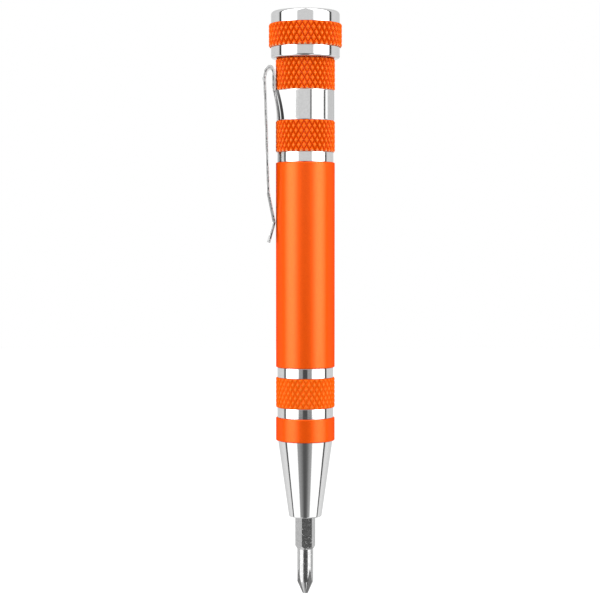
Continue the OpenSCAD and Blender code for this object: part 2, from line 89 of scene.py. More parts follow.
# a closed outline of (radius, height) turned round the axis; bend moves a point in or out
def turn(outline, steps=192, bend=None):
    points, faces, rings = [], [], []
    for r, z in keepFlats(outline):
        count = 1 if r < onAxis else steps
        rings.append(range(len(points), len(points) + count))
        for k in range(count):
            angle = 2 * math.pi * k / steps
            here = r + (bend(r, z, angle) if bend else 0)
            points.append((here * math.cos(angle), here * math.sin(angle), z))
    for a, b in zip(rings, rings[1:] + rings[:1]):
        if len(a) == 1 and len(b) == 1:
            continue
        for k in range(steps):
            n = (k + 1) % steps
            face = [a[k % len(a)], a[n % len(a)], b[n % len(b)], b[k % len(b)]]
            faces.append(list(dict.fromkeys(face)))
    return points, faces


# the same outline with its corners rounded off
def soften(outline, radius, steps=3, straight=1.5, longestCut=0.45, shortestCut=1e-3):
    made = []
    for i, (r, z) in enumerate(outline):
        here = Vector((r, z))
        back, on = Vector(outline[i - 1]) - here, Vector(outline[(i + 1) % len(outline)]) - here
        cut = 0
        if r >= onAxis and min(back.length, on.length) >= onAxis:
            half = back.angle(on) / 2
            if half < straight:
                cut = min(radius / math.tan(half), longestCut * back.length, longestCut * on.length)
        if cut < shortestCut:
            made.append((r, z))
            continue
        start, end = here + back.normalized() * cut, here + on.normalized() * cut
        for k in range(steps + 1):
            t = k / steps
            p = start * (1 - t) ** 2 + here * 2 * t * (1 - t) + end * t * t
            made.append((p.x, p.y))
    return made


thread = {"pitch": 1.0, "step": 0.07, "runOut": 0.3, "rootShare": 1.6, "flankSlope": 4.2, "innerDepth": 0.2,
          "outerDepth": 0.3}


# part of an outline along one height range, cut into short steps for a thread
def stepped(r, fromZ, toZ):
    count = max(2, round(abs(toZ - fromZ) / thread["step"]))
    return [(r, fromZ + (toZ - fromZ) * k / count) for k in range(count + 1)]


# a helical groove between two heights, cut inwards (or outwards into a bore)
def threadCut(fromZ, toZ, depth, inner=False):
    def cut(r, z, angle):
        if not fromZ <= z <= toZ:
            return 0
        fade = min(1, (z - fromZ) / thread["runOut"], (toZ - z) / thread["runOut"])
        phase = (z / thread["pitch"] - angle / (2 * math.pi)) % 1
        height = min(1, max(0, thread["rootShare"] - thread["flankSlope"] * abs(phase - 0.5)))
        return fade * depth * height * (1 if inner else -1)
    return cut


# Materials, all from nodes: a tone, a roughness and a fine bump for each
def principled(name):
    material = bpy.data.materials.new(name)
    material.use_nodes = True
    tree = material.node_tree
    return material, tree, tree.nodes["Principled BSDF"]


def addNode(tree, kind, **values):
    node = tree.nodes.new(kind)
    for key, value in values.items():
        if key in node.inputs:
            node.inputs[key].default_value = value
        else:
            setattr(node, key, value)
    return node


def ramp(tree, source, stops):
    node = tree.nodes.new("ShaderNodeValToRGB")
    bar = node.color_ramp.elements
    while len(bar) < len(stops):
        bar.new(0.5)
    for element, (place, colour) in zip(bar, stops):
        element.position = place
        element.color = (*colour, 1)
    tree.links.new(source, node.inputs["Fac"])
    return node.outputs["Color"]


def grey(v):
    return (v, v, v)


# two colours or grey levels, mixed by a share that comes from a node
def blended(tree, share, first, second):
    node = addNode(tree, "ShaderNodeMix", data_type="RGBA")
    for value, socket in ((share, "Factor"), (first, "A"), (second, "B")):
        if isinstance(value, float):
            value = grey(value)
        if isinstance(value, tuple):
            node.inputs[socket].default_value = (*value, 1)
        else:
            tree.links.new(value, node.inputs[socket])
    return node.outputs["Result"]


# fine rings left by the lathe: noise that changes along the axis and hardly round it
def latheMarks(tree, scale):
    where = addNode(tree, "ShaderNodeTexCoord")
    stretch = addNode(tree, "ShaderNodeMapping", Scale=(0.02, 0.02, 1.0))
    noise = addNode(tree, "ShaderNodeTexNoise", Scale=scale, Detail=3.0, Roughness=0.6)
    tree.links.new(where.outputs["Object"], stretch.inputs["Vector"])
    tree.links.new(stretch.outputs["Vector"], noise.inputs["Vector"])
    return noise.outputs["Fac"]


def fineGrain(tree, scale, detail=2.0, roughness=0.55, distortion=0.0):
    where = addNode(tree, "ShaderNodeTexCoord")
    noise = addNode(tree, "ShaderNodeTexNoise", Scale=scale, Detail=detail, Roughness=roughness, Distortion=distortion)
    tree.links.new(where.outputs["Object"], noise.inputs["Vector"])
    return noise.outputs["Fac"]


anodised = {
    "colour": (1.0, 0.112, 0.0008),
    "deep": (0.95, 0.094, 0.0004),
    "edgeTint": (1.0, 0.22, 0.01),
    "metallic": 0.38,
    "knurlMetallic": 0.06,
    "roughness": (0.30, 0.38),
    "grainScale": 5200,
    "latheScale": 9000,
    "grainOnKnurl": 0.25,
    "clearGloss": 0.017,
    "knurlGloss": 0.005,
    "glossRoughness": 0.24,
    # the knurl's tones: the groove and flank tones are painted shade in the grooves, the tone on the diamonds' tops is
    # a painted highlight, and the chamfer tone is partly wear, partly painted highlight
    "groove": (0.60, 0.056, 0.0),
    "flank": (0.92, 0.130, 0.001),
    "diamond": (1.0, 0.188, 0.005),
    "fleck": (1.0, 0.280, 0.040),
    "chamfer": (1.0, 0.62, 0.36),
}


def makeAnodised(name, knurled):
    material, tree, shader = principled(name)
    grain = fineGrain(tree, anodised["grainScale"])
    lines = latheMarks(tree, anodised["latheScale"])
    base = ramp(tree, grain, [(0.32, anodised["deep"]), (0.62, anodised["colour"])])
    if knurled:  # the crest attribute is 0 in a groove, 0.8 on a diamond and 1 on the chamfer; its tones paint shade into the grooves and a highlight on the diamonds' tops, and the chamfer's light tone is partly wear, partly painted highlight
        crest = addNode(tree, "ShaderNodeAttribute", attribute_name="crest")
        tones = ((0.0, "groove"), (0.30, "flank"), (0.62, "diamond"), (0.80, "fleck"), (1.0, "chamfer"))
        paintedLightAndWear = ramp(tree, crest.outputs["Fac"], [(place, anodised[tone]) for place, tone in tones])
        mix = addNode(tree, "ShaderNodeMix", data_type="RGBA", blend_type="MULTIPLY")
        mix.inputs["Factor"].default_value = anodised["grainOnKnurl"]
        tree.links.new(paintedLightAndWear, mix.inputs["A"])
        tree.links.new(base, mix.inputs["B"])
        base = mix.outputs["Result"]
    smooth, dull = anodised["roughness"]
    rough = ramp(tree, lines, [(0.35, grey(smooth)), (0.65, grey(dull))])
    bump = addNode(tree, "ShaderNodeBump", Strength=0.10, Distance=0.00002)
    second = addNode(tree, "ShaderNodeBump", Strength=0.12, Distance=0.00002)
    tree.links.new(lines, bump.inputs["Height"])
    tree.links.new(grain, second.inputs["Height"])
    tree.links.new(bump.outputs["Normal"], second.inputs["Normal"])
    tree.links.new(base, shader.inputs["Base Color"])
    tree.links.new(rough, shader.inputs["Roughness"])
    tree.links.new(second.outputs["Normal"], shader.inputs["Normal"])
    shader.inputs["Metallic"].default_value = anodised["knurlMetallic" if knurled else "metallic"]
    shader.inputs["Specular IOR Level"].default_value = 0.0
    shader.inputs["Specular Tint"].default_value = (*anodised["edgeTint"], 1)
    # the sealed oxide over the dye adds a little white gloss, the same at every angle
    gloss = addNode(tree, "ShaderNodeBsdfAnisotropic", Roughness=anodised["glossRoughness"])
    both = addNode(tree, "ShaderNodeMixShader")
    both.inputs["Fac"].default_value = anodised["knurlGloss" if knurled else "clearGloss"]
    tree.links.new(second.outputs["Normal"], gloss.inputs["Normal"])
    tree.links.new(shader.outputs["BSDF"], both.inputs[1])
    tree.links.new(gloss.outputs["BSDF"], both.inputs[2])
    tree.links.new(both.outputs["Shader"], tree.nodes["Material Output"].inputs["Surface"])
    return material


# bare metals: grey tones, roughness range, and the scales of the lathe's marks and of the grain
metals = {
    "brightPlate": {"tones": (0.60, 0.65), "roughness": (0.045, 0.075), "marks": 9000, "grain": 2600, "bump": 0.03},
    "platedSpringSteel": {"tones": (0.59, 0.65), "roughness": (0.035, 0.065), "marks": 9000, "grain": 2600, "bump": 0.03},
    "groundBitSteel": {"tones": (0.42, 0.52), "roughness": (0.09, 0.17), "marks": 6500, "grain": 1500, "bump": 0.03},
    "plainSteel": {"tones": (0.52, 0.62), "roughness": (0.24, 0.34), "marks": 9000, "grain": 2600, "bump": 0.08},
}
scuffs = {"scale": 1500, "roughness": 0.34}
tornEdge = {"scale": 2300, "bright": 0.62, "dark": 0.03, "roughness": 0.28}


def makeMetal(name, scuffed=False, sheared=False):
    m = metals[name]
    material, tree, shader = principled(name)
    grain = fineGrain(tree, m["grain"], 4.0)
    lines = latheMarks(tree, m["marks"])
    tone = ramp(tree, grain, [(0.30, grey(m["tones"][0])), (0.66, grey(m["tones"][1]))])
    dullness = ramp(tree, lines, [(0.35, grey(m["roughness"][0])), (0.68, grey(m["roughness"][1]))])
    if scuffed:  # short rub marks from the socket and from screws
        rubs = fineGrain(tree, scuffs["scale"], 3.0, 0.5, 1.6)
        mask = ramp(tree, rubs, [(0.60, grey(0)), (0.68, grey(1))])
        dullness = blended(tree, mask, dullness, scuffs["roughness"])
    if sheared:  # the torn part of the edge that the punch leaves
        torn = addNode(tree, "ShaderNodeAttribute", attribute_name="torn")
        burr = fineGrain(tree, tornEdge["scale"], 1.0)
        ragged = ramp(tree, burr, [(0.44, grey(tornEdge["bright"])), (0.54, grey(tornEdge["dark"]))])
        tone = blended(tree, torn.outputs["Fac"], tone, ragged)
        dullness = blended(tree, torn.outputs["Fac"], dullness, tornEdge["roughness"])
    bump = addNode(tree, "ShaderNodeBump", Strength=m["bump"], Distance=0.00002)
    tree.links.new(lines, bump.inputs["Height"])
    tree.links.new(tone, shader.inputs["Base Color"])
    tree.links.new(dullness, shader.inputs["Roughness"])
    tree.links.new(bump.outputs["Normal"], shader.inputs["Normal"])
    shader.inputs["Metallic"].default_value = 1.0
    return material


mouldings = {
    "carrierPlastic": {"dark": grey(0.018), "light": grey(0.030), "roughness": (0.42, 0.54), "grain": 4200},
    "washerNylon": {"dark": (0.72, 0.70, 0.63), "light": (0.80, 0.78, 0.71), "roughness": (0.36, 0.48), "grain": 4200},
}


def makeMoulded(name):
    m = mouldings[name]
    material, tree, shader = principled(name)
    grain = fineGrain(tree, m["grain"], 3.0)
    colour = ramp(tree, grain, [(0.3, m["dark"]), (0.7, m["light"])])
    rough = ramp(tree, grain, [(0.3, grey(m["roughness"][0])), (0.7, grey(m["roughness"][1]))])
    bump = addNode(tree, "ShaderNodeBump", Strength=0.25, Distance=0.00003)
    tree.links.new(grain, bump.inputs["Height"])
    tree.links.new(colour, shader.inputs["Base Color"])
    tree.links.new(rough, shader.inputs["Roughness"])
    tree.links.new(bump.outputs["Normal"], shader.inputs["Normal"])
    return material


orangeSmooth = makeAnodised("orangeAnodisedSmooth", False)
orangeKnurled = makeAnodised("orangeAnodisedKnurled", True)
brightPlate = makeMetal("brightPlate")
springSteel = makeMetal("platedSpringSteel", sheared=True)
bitSteel = makeMetal("groundBitSteel", scuffed=True)
plainSteel = makeMetal("plainSteel")
carrierPlastic = makeMoulded("carrierPlastic")
washerNylon = makeMoulded("washerNylon")
print("materials made")


# Barrel and the smooth sleeve of the nose
barrel = {"bottom": 51.3, "top": 97.15, "radius": 6.601, "bore": 5.651, "edge": 0.22, "threadLength": 4.8,
          "leadIn": 0.12}


def makeBarrel():
    low, high, r, bore = barrel["bottom"], barrel["top"], barrel["radius"], barrel["bore"]
    leadIn, threadLength, rimSteps = barrel["leadIn"], barrel["threadLength"], 4
    mouth = bore + leadIn
    outer = soften([(mouth, low), (r, low), (r, high), (mouth, high)], barrel["edge"], rimSteps)
    outline = [(mouth, low)] + outer[rimSteps + 1:-rimSteps - 1] + [(mouth, high)]
    outline += stepped(bore, high - leadIn, high - threadLength) + stepped(bore, low + threadLength, low + leadIn)
    lower = threadCut(low + leadIn, low + threadLength, thread["innerDepth"], True)
    upper = threadCut(high - threadLength, high - leadIn, thread["innerDepth"], True)

    def cut(r, z, angle):
        return lower(r, z, angle) + upper(r, z, angle) if r < mouth else 0

    points, faces = turn(outline, bend=cut)
    makePiece("barrelTube", points, faces, orangeSmooth, "barrel", ["barrel_sleeve"])


def makeTube(name, size, material, body, node):
    low, high, r, bore = size["bottom"], size["top"], size["radius"], size["bore"]
    points, faces = turn(soften([(bore, low), (r, low), (r, high), (bore, high)], size["edge"], 4))
    makePiece(name, points, faces, material, body, [node])


makeBarrel()
noseSleeve = {"bottom": 34.8, "top": 39.95, "radius": 6.601, "bore": 5.671, "edge": 0.2}
makeTube("noseSleeveTube", noseSleeve, orangeSmooth, "nose", "nose_sleeve")
print("barrel and nose sleeve made")


# Bright spacer rings; the two beside the barrel sit loose in the reliefs of the stems
spacers = {
    "lowerSpacer": {"body": "nose", "node": "lower_spacer_ring", "bottom": 39.95, "top": 42.3, "radius": 6.301,
                    "bore": 5.671, "edge": 0.14},
    "barrelSpacer": {"body": "nose_ring", "node": "barrel_spacer_ring", "bottom": 48.95, "top": 51.3, "radius": 6.301,
                     "bore": 5.501, "edge": 0.14},
    "upperSpacer": {"body": "tail_ring", "node": "upper_spacer_ring", "bottom": 97.15, "top": 99.5, "radius": 6.301,
                    "bore": 5.501, "edge": 0.14},
}
for name, spacer in spacers.items():
    makeTube(name, spacer, brightPlate, spacer["body"], spacer["node"])
print("spacer rings made")


# Knurled rings: two crossing sets of grooves leave four-sided diamonds, cut off by a bevel at both ends
# track is how far the nose ring's second grooves lie beside the first; the groove tone is painted shade and the lower
# chamfer's tone is partly wear, partly painted highlight, both between 0 and 1
knurls = {
    "noseGrip": {"body": "nose", "node": "nose_grip_ring", "bottom": 42.3, "height": 6.65, "radius": 6.6263,
                 "bore": 5.671, "diamonds": 34, "row": 1.05, "turn": 1.5, "bevel": 0.3, "depth": 0.16,
                 "track": 0.42, "wear": 0.3, "edgeWear": 0.7},
    "collarGrip": {"body": "tail", "node": "collar_grip_ring", "bottom": 99.5, "height": 6.95, "radius": 6.6263,
                   "bore": 5.671, "diamonds": 34, "row": 1.05, "turn": 2.4, "bevel": 0.3, "depth": 0.25,
                   "track": 0, "wear": 0, "edgeWear": 1},
    "upperGrip": {"body": "tail", "node": "upper_grip_ring", "bottom": 113.25, "height": 6.95, "radius": 6.6263,
                  "bore": 5.671, "diamonds": 34, "row": 1.05, "turn": 3.3, "bevel": 0.24, "depth": 0.25,
                  "track": 0, "wear": 0, "edgeWear": 1},
    "capGrip": {"body": "cap", "node": "cap_grip_ring", "bottom": 122.85, "height": 5.15, "radius": 8.1763,
                "bore": 6.147, "diamonds": 40, "row": 1.14, "turn": 4.05, "bevel": 0.3, "depth": 0.27,
                "track": 0, "wear": 0, "edgeWear": 1},
}
knurlForm = {"cells": 5, "bevelSteps": 3, "crestFlat": 0.34, "grooveFlat": 0.08, "chamferCut": 0.75,
             "trackFloor": 0.35, "trackSlope": 1.3, "crestTone": 0.8, "upperEdgeTone": 0.62, "boreTone": 0.5}


# how far a place lies from the two nearest grooves, 0 in the groove and 1 halfway to the next
def grooveGaps(x, y):
    one, two = (x + y) / 2, (x - y) / 2
    return abs(one - round(one)) * 2, abs(two - round(two)) * 2


def makeKnurled(name, ring):
    form, bevel, depth, tall = knurlForm, ring["bevel"], ring["depth"], ring["height"]
    cells = form["cells"]
    rows = round((tall - 2 * bevel) / ring["row"])
    pitch = (tall - 2 * bevel) / rows
    around = 2 * ring["diamonds"] * cells
    root = ring["radius"] - depth
    angles = [2 * math.pi * j / around + math.radians(ring["turn"]) for j in range(around)]
    ends = [k / (form["bevelSteps"] + 1) * bevel for k in range(form["bevelSteps"] + 1)]
    heights = ends + [bevel + k * pitch / cells for k in range(rows * cells + 1)] + [tall - e for e in reversed(ends)]
    points, faces, crest = [], [], []
    for z in heights:
        chamfer = 1 - form["chamferCut"] * max(0, 1 - z / bevel, 1 - (tall - z) / bevel)
        for j, angle in enumerate(angles):
            one, two = grooveGaps(j / cells, (z - bevel) / pitch)
            up = (min(one, two) - form["grooveFlat"]) / (1 - form["crestFlat"] - form["grooveFlat"])
            up = min(max(up, 0), 1)
            if ring["track"]:  # a second, shallower groove beside each one, where the wheel slipped a little
                slipped = grooveGaps(j / cells + ring["track"], (z - bevel) / pitch)[1]
                up = min(up, form["trackFloor"] + form["trackSlope"] * slipped)
            # the tone runs from painted shade in the groove to a painted highlight on the crest
            paintedLightAndWear = ring["wear"] + (form["crestTone"] - ring["wear"]) * up
            if up > chamfer + 0.02:  # the chamfer cuts off this diamond
                # the lower chamfer takes a light tone, partly wear and partly painted highlight
                paintedLightAndWear = ring["edgeWear"] if z < bevel else form["upperEdgeTone"]
            r = root + depth * min(up, chamfer)
            points.append((r * math.cos(angle), r * math.sin(angle), ring["bottom"] + z))
            crest.append(paintedLightAndWear)
    # each cell is split along the nearer groove, so that the grooves stay straight
    for i in range(len(heights) - 1):
        middle = ((heights[i] + heights[i + 1]) / 2 - bevel) / pitch
        for j in range(around):
            a, b = i * around + j, i * around + (j + 1) % around
            c, d = b + around, a + around
            one, two = grooveGaps((j + 0.5) / cells, middle)
            faces += [(a, b, d), (b, c, d)] if one < two else [(a, b, c), (a, c, d)]
    last = (len(heights) - 1) * around
    for z, rim in ((ring["bottom"], 0), (ring["bottom"] + tall, last)):
        first = len(points)
        points += [(ring["bore"] * math.cos(angle), ring["bore"] * math.sin(angle), z) for angle in angles]
        crest += [form["boreTone"]] * around
        faces += [(rim + j, rim + (j + 1) % around, first + (j + 1) % around, first + j) for j in range(around)]
    low, high = len(points) - 2 * around, len(points) - around
    faces += [(low + j, low + (j + 1) % around, high + (j + 1) % around, high + j) for j in range(around)]
    piece = makePiece(name + "Knurl", points, faces, orangeKnurled, ring["body"], [ring["node"]], 24)
    piece.data.attributes.new("crest", "FLOAT", "POINT").data.foreach_set("value", crest)


for name, ring in knurls.items():
    makeKnurled(name, ring)
print("knurled rings made")


# Nose cone with the stem that screws into the barrel
nose = {"mouth": 17.5, "mouthRadius": 3.667, "mouthRound": 0.4, "shoulder": 34.8, "shoulderRadius": 6.151,
        "shoulderEdge": 0.1, "neck": 5.651, "ringSeat": 48.95, "relief": 5.451, "reliefMargin": 0.05, "thread": 5.601,
        "threadFrom": 51.8, "top": 56.3, "stemEdge": 0.2, "bore": 5.051, "seat": 42.0, "socket": 3.057, "magnetTop": 31.0}


def makeNose():
    n = nose
    threadFrom, threadTo = n["threadFrom"] + 0.02, n["top"] - n["stemEdge"]
    shoulderR, edge = n["shoulderRadius"], n["shoulderEdge"]
    mouth, shoulder = n["mouth"], n["shoulder"]
    cone = [(n["socket"], mouth), (n["mouthRadius"], mouth), (shoulderR, shoulder), (n["neck"], shoulder)]
    rounded = soften(cone, n["mouthRound"], 6)
    outline = [cone[0]] + [(r, z) for r, z in rounded if z < shoulder - 1 and r > n["socket"] + 0.15]
    outline += [(shoulderR - edge / 5, shoulder - edge), (shoulderR - edge * 0.8, shoulder), (n["neck"], shoulder)]
    outline += [(n["neck"], n["ringSeat"]), (n["relief"], n["ringSeat"]), (n["relief"], n["threadFrom"])]
    outline += stepped(n["thread"], threadFrom, threadTo)
    outline += [(n["thread"] - n["stemEdge"], n["top"]), (n["bore"], n["top"]), (n["bore"], n["seat"]), (0, n["seat"])]
    outline += [(0, n["magnetTop"]), (n["socket"], n["magnetTop"])]
    cut, threadBase = threadCut(threadFrom, threadTo, thread["outerDepth"]), n["relief"] + n["reliefMargin"]
    points, faces = turn(outline, bend=lambda r, z, angle: cut(r, z, angle) if r > threadBase else 0)
    makePiece("noseCone", points, faces, brightPlate, "nose", ["nose_cone"])


# Core of the tail: threaded stem below, neck for the rings, and the bearing of the cap's spindle
tail = {"bottom": 92.15, "stemEdge": 0.2, "thread": 5.601, "threadTo": 96.65, "relief": 5.451, "reliefMargin": 0.05,
        "collar": 99.5, "neck": 5.651, "top": 119.6, "bore": 5.051, "seat": 106.45, "chamber": 4.351, "bearing": 111.05,
        "spindle": 2.05}


def makeTail():
    t = tail
    threadFrom, threadTo = t["bottom"] + t["stemEdge"], t["threadTo"] - 0.02
    outline = [(t["bore"], t["bottom"]), (t["thread"] - t["stemEdge"], t["bottom"])]
    outline += stepped(t["thread"], threadFrom, threadTo)
    outline += [(t["relief"], t["threadTo"]), (t["relief"], t["collar"]), (t["neck"], t["collar"]), (t["neck"], t["top"])]
    outline += [(t["spindle"], t["top"]), (t["spindle"], t["bearing"]), (t["chamber"], t["bearing"])]
    outline += [(t["chamber"], t["seat"]), (t["bore"], t["seat"])]
    cut, threadBase = threadCut(threadFrom, threadTo, thread["outerDepth"]), t["relief"] + t["reliefMargin"]
    points, faces = turn(outline, bend=lambda r, z, angle: cut(r, z, angle) if r > threadBase else 0)
    makePiece("tailCore", points, faces, brightPlate, "tail", ["tail_core"])


makeNose()
makeTail()
print("nose cone and tail core made")


# Spinning cap: flange with its hub, and crown with its spindle
cap = {"radius": 7.701, "round": 0.8, "flangeRound": 0.5, "ringEdge": 0.1, "flangeBottom": 120.3, "flangeTop": 122.85,
       "hub": 6.127, "crownBottom": 128.0, "crownTop": 130.85, "spindle": 2.0, "spindleGap": 0.02, "spindleEnd": 109.5,
       "spindleChamfer": 0.4, "groove": 1.6, "grooveLow": 110.28, "grooveHigh": 111.02, "topInset": 0.5}


# a quarter circle about a centre, from an angle in degrees
def quarterRound(r, z, radius, fromAngle, steps=8):
    turns = [math.radians(fromAngle + 90 * k / steps) for k in range(steps + 1)]
    return [(r + radius * math.cos(a), z + radius * math.sin(a)) for a in turns]


def makeCap():
    c = cap
    r, top, edge, under = c["radius"], c["round"], c["ringEdge"], c["flangeRound"]
    bore = c["spindle"] + c["spindleGap"]
    flange = [(bore, c["flangeBottom"])] + quarterRound(r - under, c["flangeBottom"] + under, under, -90)
    flange += quarterRound(r - edge, c["flangeTop"] - edge, edge, 0)
    flange += [(c["hub"], c["flangeTop"]), (c["hub"], c["crownBottom"]), (bore, c["crownBottom"])]
    points, faces = turn(flange)
    makePiece("capFlange", points, faces, brightPlate, "cap", ["cap_base"])
    spindle, groove, low, high = c["spindle"], c["groove"], c["grooveLow"], c["grooveHigh"]
    crown = [(0, c["spindleEnd"]), (groove, c["spindleEnd"]), (spindle, c["spindleEnd"] + c["spindleChamfer"])]
    crown += [(spindle, low), (groove, low), (groove, high), (spindle, high), (spindle, c["crownBottom"])]
    crown += quarterRound(r - edge, c["crownBottom"] + edge, edge, -90)
    crown += quarterRound(r - top, c["crownTop"] - top, top, 0)
    crown += [(r - top - c["topInset"], c["crownTop"]), (0, c["crownTop"])]
    points, faces = turn(crown)
    makePiece("capCrown", points, faces, brightPlate, "cap", ["cap_crown"])


makeCap()
print("cap made")


# Pocket clip: one bent strip from the band to the lifted tip, and the band itself
clip = {"thickness": 0.74, "width": 4.6, "tipWidth": 3.8, "edge": 0.06, "taper": 0.0744, "loopX": -8.128,
        "loopRadius": 1.092, "archZ": 116.1, "archRise": 2.33, "archLean": 0.2, "kneeZ": 113.4, "rootX": -6.38,
        "rootZ": 111.6, "footX": -6.18, "footZ": 106.5, "bendX": -8.34, "bendZ": 90.48, "bendRadius": 1.6,
        "beadX": -7.001, "beadZ": 83.78, "beadRadius": 0.8, "tipX": -8.24, "tipZ": 79.28, "spacing": 1.2,
        "endHalfWidth": 0.3}
clipBand = {"bottom": 106.45, "top": 113.25, "radius": 6.451, "bore": 5.671, "edge": 0.16}


# the arc that rounds the corner at b on the way from a to c
def cornerPoints(a, b, c, radius, steps=8):
    a, b, c = Vector(a), Vector(b), Vector(c)
    back, on = (a - b).normalized(), (c - b).normalized()
    half = back.angle(on) / 2
    centre = b + (back + on).normalized() * radius / math.sin(half)
    start, end = b + back * radius / math.tan(half) - centre, b + on * radius / math.tan(half) - centre
    fromAngle = math.atan2(start.y, start.x)
    sweep = (math.atan2(end.y, end.x) - fromAngle + 3 * math.pi) % (2 * math.pi) - math.pi
    angles = [fromAngle + sweep * k / steps for k in range(steps + 1)]
    return [centre + radius * Vector((math.cos(a), math.sin(a))) for a in angles]


# the middle line of the strip in the plane y = 0, from its foot on the band over the loop to its tip
def clipPath():
    c = clip
    legX, armX = c["loopX"] + c["loopRadius"], c["loopX"] - c["loopRadius"]
    foot, root, knee = (c["footX"], c["footZ"]), (c["rootX"], c["rootZ"]), (legX, c["kneeZ"])
    bent, bead, tip = (c["bendX"], c["bendZ"]), (c["beadX"], c["beadZ"]), (c["tipX"], c["tipZ"])
    path = [Vector(foot)] + cornerPoints(foot, root, knee, c["bendRadius"])
    path += cornerPoints(root, knee, (legX, c["archZ"]), c["bendRadius"])
    for a in [math.radians(degrees) for degrees in range(0, 181, 5)]:
        x = c["loopX"] + c["loopRadius"] * math.cos(a) + c["archLean"] * math.sin(a) ** 2
        path.append(Vector((x, c["archZ"] + c["archRise"] * math.sin(a))))
    path += cornerPoints((armX, c["archZ"]), bent, bead, c["bendRadius"])
    path += cornerPoints(bent, bead, tip, c["beadRadius"])
    tipEnd, lean = Vector(tip), (Vector(tip) - Vector(bead)).normalized()
    half = c["tipWidth"] / 2
    path += [tipEnd - lean * half * (1 - math.sin(math.radians(a))) for a in range(0, 91, 9)]
    # long straight stretches get evenly spaced points of their own
    full = [path[0]]
    for p in path[1:]:
        gap = (p - full[-1]).length
        if gap < 1e-4:
            continue
        count = max(1, round(gap / c["spacing"]))
        start = full[-1].copy()
        full += [start.lerp(p, k / count) for k in range(1, count + 1)]
    return full


# the band swells into the leg: a flat, then two shallow steps with a narrow ledge that lean inwards as they rise
# all are angles in degrees: along the band from the clip's middle, or how far a face leans
clipRoot = {"startAngle": 48, "lowAngle": 43.5, "highAngle": 28.8, "foldCurve": 1.45, "stepLow": 8.6, "stepHigh": 6.2,
            "ledge": 1.9, "secondStep": 5.5, "flatLean": 41.5, "stepLean": 46.6, "backFall": 8}
rootMesh = {"rows": 24, "columns": (14, 14, 8, 12, 28), "endInset": 0.12, "proud": 0.002, "insideRadius": 6.0}


def makeClipRoot():
    c, counts, rows = clipRoot, rootMesh["columns"], rootMesh["rows"]
    low, high = clipBand["bottom"] + rootMesh["endInset"], clipBand["top"] - rootMesh["endInset"]
    columns, points, faces = 2 * sum(counts), [], []
    for i in range(rows + 1):
        share = i / rows
        z = low + (high - low) * share
        fold = c["lowAngle"] + (c["highAngle"] - c["lowAngle"]) * share ** c["foldCurve"]
        step = fold - c["stepLow"] - (c["stepHigh"] - c["stepLow"]) * share
        outer = step - c["ledge"]
        ends = (c["startAngle"], fold, step, outer, outer - c["secondStep"], 0)
        rise, side = 0.0, [(c["startAngle"], 0.0)]
        for part, count in enumerate(counts):
            wide = (ends[part] - ends[part + 1]) / count
            for k in range(count):
                angle = ends[part] - (k + 0.5) * wide
                tilt = -c["backFall"] if part == 4 else 90 - angle - (c["stepLean"] if part % 2 else c["flatLean"])
                rise += math.tan(math.radians(tilt)) * clipBand["radius"] * math.radians(wide)
                side.append((angle - wide / 2, rise))
        both = side + [(-a, u) for a, u in reversed(side[:-1])]
        outside = [(a, clipBand["radius"] + rootMesh["proud"] + up) for a, up in both]
        for angle, r in outside + [(a, rootMesh["insideRadius"]) for a, up in both]:
            turned = math.radians(180 - angle)
            points.append((r * math.cos(turned), -r * math.sin(turned), z))
    line = columns + 1  # each row holds its outer line of points, then its inner line
    for i in range(rows):
        a, b = i * 2 * line, (i + 1) * 2 * line
        for first, second in ((a, b), (a + line, b + line)):
            faces += [(first + k, first + k + 1, second + k + 1, second + k) for k in range(columns)]
        faces += [(a, a + line, b + line, b), (a + line - 1, a + 2 * line - 1, b + 2 * line - 1, b + line - 1)]
    for a in (0, rows * 2 * line):
        faces += [(a + k, a + k + 1, a + line + k + 1, a + line + k) for k in range(columns)]
    makePiece("clipRootSwell", points, faces, springSteel, "tail", ["clip_band"], 50)


# the strip's section: flat broad faces, rounded corners, and cut sides that taper and are torn towards the inner face
# each point is (out from the middle, across, torn); near is the step that keeps the flats flat in the light
stripSide = {"tornFrom": 0.22, "tornTo": 0.06, "tornFade": 0.03, "taperFrom": 0.02, "near": 0.02}


def stripSection(half):
    t, e, low, s = clip["thickness"] / 2, clip["edge"], half - clip["taper"], stripSide
    near, taperFrom = s["near"], s["taperFrom"]
    quarter = [math.radians(30 * k) for k in range(4)]
    rim = [(t, half - e - near, 0.0)] + [(t - e + e * math.cos(a), half - e + e * math.sin(a), 0.0) for a in quarter]
    rim += [(s["tornFrom"] + s["tornFade"], half, 0.0), (s["tornFrom"], half, 1.0), (s["tornTo"], half, 1.0)]
    rim += [(taperFrom, half, 0.0)]
    slope = clip["taper"] / (taperFrom + t - e)
    rim += [(u, half - (taperFrom - u) * slope, 0.0) for u in (taperFrom - near, e - t + near)]
    rim += [(e - t - e * math.sin(a), low - e + e * math.cos(a), 0.0) for a in quarter] + [(-t, low - e - near, 0.0)]
    return rim + [(u, -v, torn) for u, v, torn in reversed(rim)]


